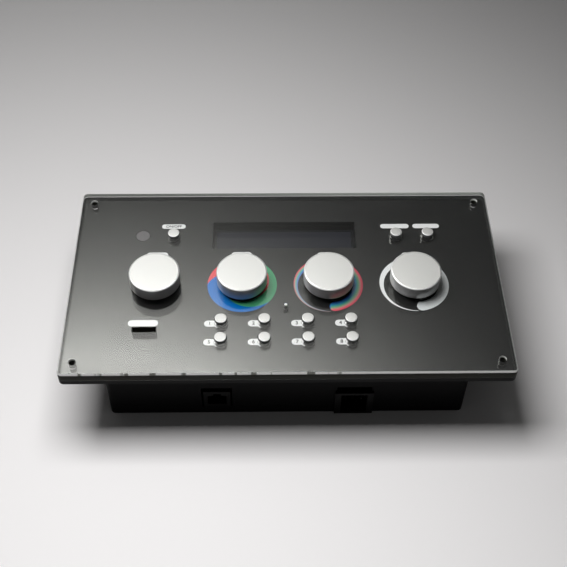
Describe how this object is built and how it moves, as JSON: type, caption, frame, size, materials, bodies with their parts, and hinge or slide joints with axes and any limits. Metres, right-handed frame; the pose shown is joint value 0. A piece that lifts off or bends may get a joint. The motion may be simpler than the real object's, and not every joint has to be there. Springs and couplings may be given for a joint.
{
  "type": "dmx lighting controller",
  "caption": "Flush-mounted lighting controller: clear cover over a black plate with aluminium knobs, push buttons, display window, card slot and a rear box with sockets.",
  "frame": {"origin": "on the floor of the rear box, under the middle of the panel", "axes": "+Z out of the control face, +X to the right along the panel's long side, +Y towards the panel's upper edge"},
  "size_m": [0.26, 0.142, 0.0661],
  "materials": {
    "cover": "clear polished acrylic, 6 mm, chamfered top edge",
    "plate": "smooth black, with white and coloured print under the cover",
    "box": "satin black folded steel",
    "board": "green solder mask",
    "knob": "fine bead-blasted top, fine turned side",
    "button": "satin",
    "steel": "zinc plated",
    "brass": "nickel plated",
    "housing": "die cast",
    "black_plastic": "moulded black",
    "pale_plastic": "moulded white",
    "display": "dark blue-grey display glass",
    "filter": "dark smoked filter",
    "insulation": "grey insulation"
  },
  "bodies": {
    "housing": {"clear_cover": "cover", "front_plate": "plate", "rear_box": "box", "main_board": "board", "port_board": "board", "display_shroud": "black_plastic", "display_glass": "display", "display_backlight": "pale_plastic", "card_socket": "steel", "infrared_window": "filter", "infrared_receiver": "black_plastic", "status_light_pipe": "pale_plastic", "network_socket": "housing", "terminal_socket": "black_plastic", "coin_cell": "steel", "cell_clip": "steel", "board_ribbon": "insulation", "power_lead": "insulation", "port_screw_1": "steel", "port_screw_2": "steel", "panel_post_1": "brass", "panel_post_2": "brass", "panel_post_3": "brass", "panel_post_4": "brass", "box_screw_1": "steel", "box_screw_2": "steel", "box_screw_3": "steel", "box_screw_4": "steel", "encoder_1": "housing", "encoder_2": "housing", "encoder_3": "housing", "encoder_4": "housing", "encoder_nut_1": "steel", "encoder_nut_2": "steel", "encoder_nut_3": "steel", "encoder_nut_4": "steel"},
    "knob_1": {"knob_1": "knob", "encoder_shaft_1": "steel", "knob_screw_1": "steel"},
    "knob_2": {"knob_2": "knob", "encoder_shaft_2": "steel", "knob_screw_2": "steel"},
    "knob_3": {"knob_3": "knob", "encoder_shaft_3": "steel", "knob_screw_3": "steel"},
    "knob_4": {"knob_4": "knob", "encoder_shaft_4": "steel", "knob_screw_4": "steel"},
    "power_button": {"power_button": "button"},
    "run_button": {"run_button": "button"},
    "lock_button": {"lock_button": "button"},
    "cue_button_1": {"cue_button_1": "button"},
    "cue_button_2": {"cue_button_2": "button"},
    "cue_button_3": {"cue_button_3": "button"},
    "cue_button_4": {"cue_button_4": "button"},
    "cue_button_5": {"cue_button_5": "button"},
    "cue_button_6": {"cue_button_6": "button"},
    "cue_button_7": {"cue_button_7": "button"},
    "cue_button_8": {"cue_button_8": "button"}
  },
  "joints": [
    {"name": "knob_1_turn", "type": "hinge", "parent": "housing", "child": "knob_1", "pos_m": [-0.07885, -0.0034, 0.0574], "axis": [0, 0, 1], "continuous": true},
    {"name": "knob_2_turn", "type": "hinge", "parent": "housing", "child": "knob_2", "pos_m": [-0.02675, -0.0034, 0.0574], "axis": [0, 0, 1], "continuous": true},
    {"name": "knob_3_turn", "type": "hinge", "parent": "housing", "child": "knob_3", "pos_m": [0.02535, -0.0034, 0.0574], "axis": [0, 0, 1], "continuous": true},
    {"name": "knob_4_turn", "type": "hinge", "parent": "housing", "child": "knob_4", "pos_m": [0.07745, -0.0034, 0.0574], "axis": [0, 0, 1], "continuous": true},
    {"name": "power_button_press", "type": "slide", "parent": "housing", "child": "power_button", "axis": [0, 0, -1], "range_m": [0, 0.0007], "stiffness_N_per_m": 2000},
    {"name": "run_button_press", "type": "slide", "parent": "housing", "child": "run_button", "axis": [0, 0, -1], "range_m": [0, 0.0007], "stiffness_N_per_m": 2000},
    {"name": "lock_button_press", "type": "slide", "parent": "housing", "child": "lock_button", "axis": [0, 0, -1], "range_m": [0, 0.0007], "stiffness_N_per_m": 2000},
    {"name": "cue_button_1_press", "type": "slide", "parent": "housing", "child": "cue_button_1", "axis": [0, 0, -1], "range_m": [0, 0.0007], "stiffness_N_per_m": 2000},
    {"name": "cue_button_2_press", "type": "slide", "parent": "housing", "child": "cue_button_2", "axis": [0, 0, -1], "range_m": [0, 0.0007], "stiffness_N_per_m": 2000},
    {"name": "cue_button_3_press", "type": "slide", "parent": "housing", "child": "cue_button_3", "axis": [0, 0, -1], "range_m": [0, 0.0007], "stiffness_N_per_m": 2000},
    {"name": "cue_button_4_press", "type": "slide", "parent": "housing", "child": "cue_button_4", "axis": [0, 0, -1], "range_m": [0, 0.0007], "stiffness_N_per_m": 2000},
    {"name": "cue_button_5_press", "type": "slide", "parent": "housing", "child": "cue_button_5", "axis": [0, 0, -1], "range_m": [0, 0.0007], "stiffness_N_per_m": 2000},
    {"name": "cue_button_6_press", "type": "slide", "parent": "housing", "child": "cue_button_6", "axis": [0, 0, -1], "range_m": [0, 0.0007], "stiffness_N_per_m": 2000},
    {"name": "cue_button_7_press", "type": "slide", "parent": "housing", "child": "cue_button_7", "axis": [0, 0, -1], "range_m": [0, 0.0007], "stiffness_N_per_m": 2000},
    {"name": "cue_button_8_press", "type": "slide", "parent": "housing", "child": "cue_button_8", "axis": [0, 0, -1], "range_m": [0, 0.0007], "stiffness_N_per_m": 2000}
  ]
}
